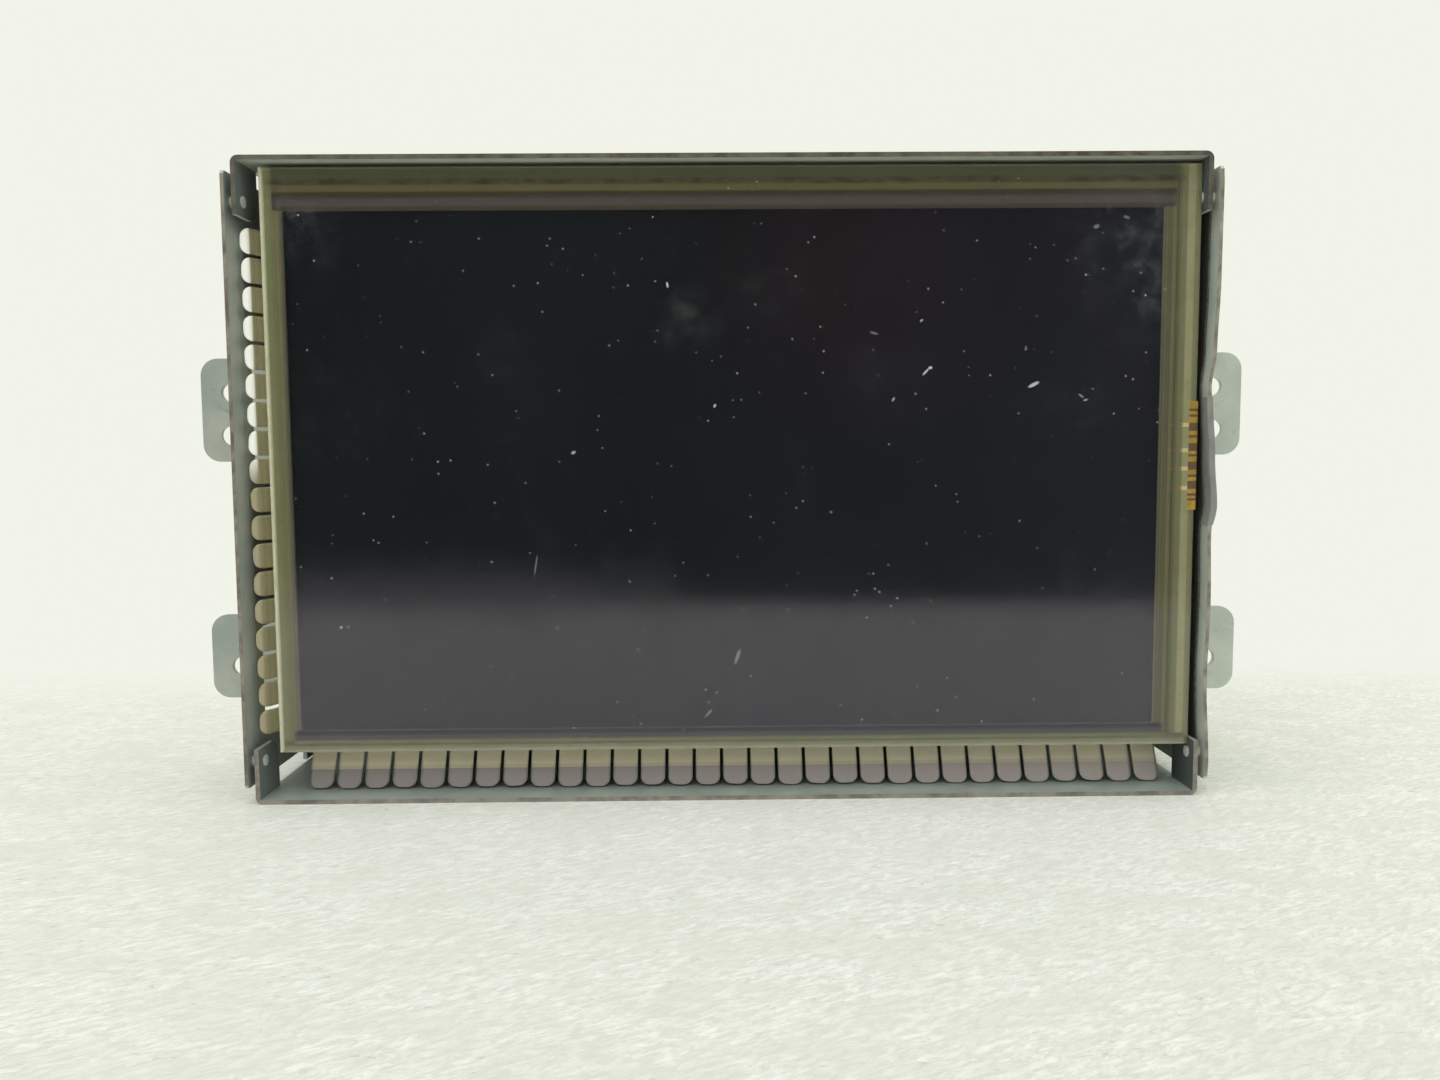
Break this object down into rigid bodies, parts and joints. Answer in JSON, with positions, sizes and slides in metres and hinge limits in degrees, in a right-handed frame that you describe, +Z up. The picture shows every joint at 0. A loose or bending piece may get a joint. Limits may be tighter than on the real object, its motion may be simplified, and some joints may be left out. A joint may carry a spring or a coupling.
{
  "type": "in-dash navigation display unit",
  "caption": "Flat in-dash navigation screen: open-front sheet-steel chassis with touch panel, spring-finger strips, side mounting ears and rear sockets.",
  "frame": {"origin": "middle of the unit's bottom face, halfway between the front edge and the rear sockets", "axes": "+X to the right as the driver sees the screen, +Y back into the dashboard, +Z up"},
  "size_m": [0.2004, 0.038, 0.1115],
  "materials": {
    "zinc_steel": "zinc-plated sheet steel, blue-grey, satin, worn bare at the front edges",
    "bracket_steel": "zinc-plated sheet steel, blue-grey, satin",
    "tinned_steel": "tin-plated sheet steel, satin",
    "spring_steel": "bright tin-plated spring bronze",
    "liner_fibre": "black fibre sheet, dull",
    "guard_cloth": "woven adhesive cloth tape, purplish grey",
    "screw_steel": "zinc-plated steel",
    "touch_film": "clear coated polyester, faint olive tint",
    "touch_glass": "clear soda glass, green edge",
    "gasket_foam": "olive foam tape",
    "flex_amber": "amber polyimide film with copper tracks",
    "lcd_black": "black polariser over glass, satin gloss",
    "clear_plastic": "clear moulded acrylic",
    "white_film": "white polyester film",
    "mould_black": "black moulded polycarbonate, fine texture",
    "board_green": "green solder mask over glass epoxy",
    "chip_black": "black epoxy",
    "led_yellow": "white lamp bodies with yellow phosphor",
    "capacitor_can": "bare aluminium can on a black base",
    "ceramic_tan": "tan ceramic with tinned ends",
    "coil_grey": "pressed grey ferrite",
    "socket_white": "natural nylon",
    "socket_grey": "grey nylon",
    "pin_gold": "gold-plated pins",
    "latch_brown": "dark brown moulded plastic"
  },
  "bodies": {
    "root": {"top_plate": "zinc_steel", "bottom_plate": "zinc_steel", "left_side_bracket": "bracket_steel", "right_side_bracket": "bracket_steel", "right_bracket_liner": "liner_fibre", "edge_guard_tape": "guard_cloth", "rear_cover": "zinc_steel", "corner_rivets": "screw_steel", "side_screws": "screw_steel", "rear_cover_screws": "screw_steel", "touch_film": "touch_film", "touch_glass": "touch_glass", "touch_gasket": "gasket_foam", "touch_flex_tail": "flex_amber", "lcd_bezel": "tinned_steel", "front_polariser": "lcd_black", "lcd_glass_cell": "lcd_black", "rear_polariser": "lcd_black", "prism_film": "clear_plastic", "diffuser_film": "white_film", "light_guide": "clear_plastic", "reflector_sheet": "white_film", "lcd_mould_frame": "mould_black", "lcd_rear_tray": "tinned_steel", "backlight_led_strip": "board_green", "backlight_leds": "led_yellow", "lcd_driver_board": "board_green", "lcd_driver_chips": "chip_black", "lcd_flex_cable": "flex_amber", "left_spring_fingers": "spring_steel", "bottom_spring_fingers": "spring_steel", "display_holder": "tinned_steel", "lcd_spacers": "screw_steel", "lcd_screws": "screw_steel", "board_pillars": "screw_steel", "board_screws": "screw_steel", "main_board": "board_green", "graphics_processor": "chip_black", "memory_chips": "chip_black", "shield_can": "tinned_steel", "touch_controller": "chip_black", "voltage_regulators": "chip_black", "backlight_coils": "coil_grey", "chip_capacitors": "ceramic_tan", "electrolytic_capacitors": "capacitor_can", "power_connector": "socket_white", "power_connector_pins": "pin_gold", "video_connector": "socket_grey", "video_connector_pins": "pin_gold", "lcd_flex_connector": "socket_white", "touch_flex_connector": "socket_white"},
    "lcd_flex_latch": {"lcd_flex_latch": "latch_brown"},
    "touch_flex_latch": {"touch_flex_latch": "latch_brown"}
  },
  "joints": [
    {"name": "lcd_flex_latch_hinge", "type": "hinge", "parent": "root", "child": "lcd_flex_latch", "pos_m": [0.02, 0.0051, 0.0723], "axis": [1, 0, 0], "range_deg": [0, 90]},
    {"name": "touch_flex_latch_hinge", "type": "hinge", "parent": "root", "child": "touch_flex_latch", "pos_m": [0.0673, 0.0051, 0.06], "axis": [0, 0, -1], "range_deg": [0, 90]}
  ]
}
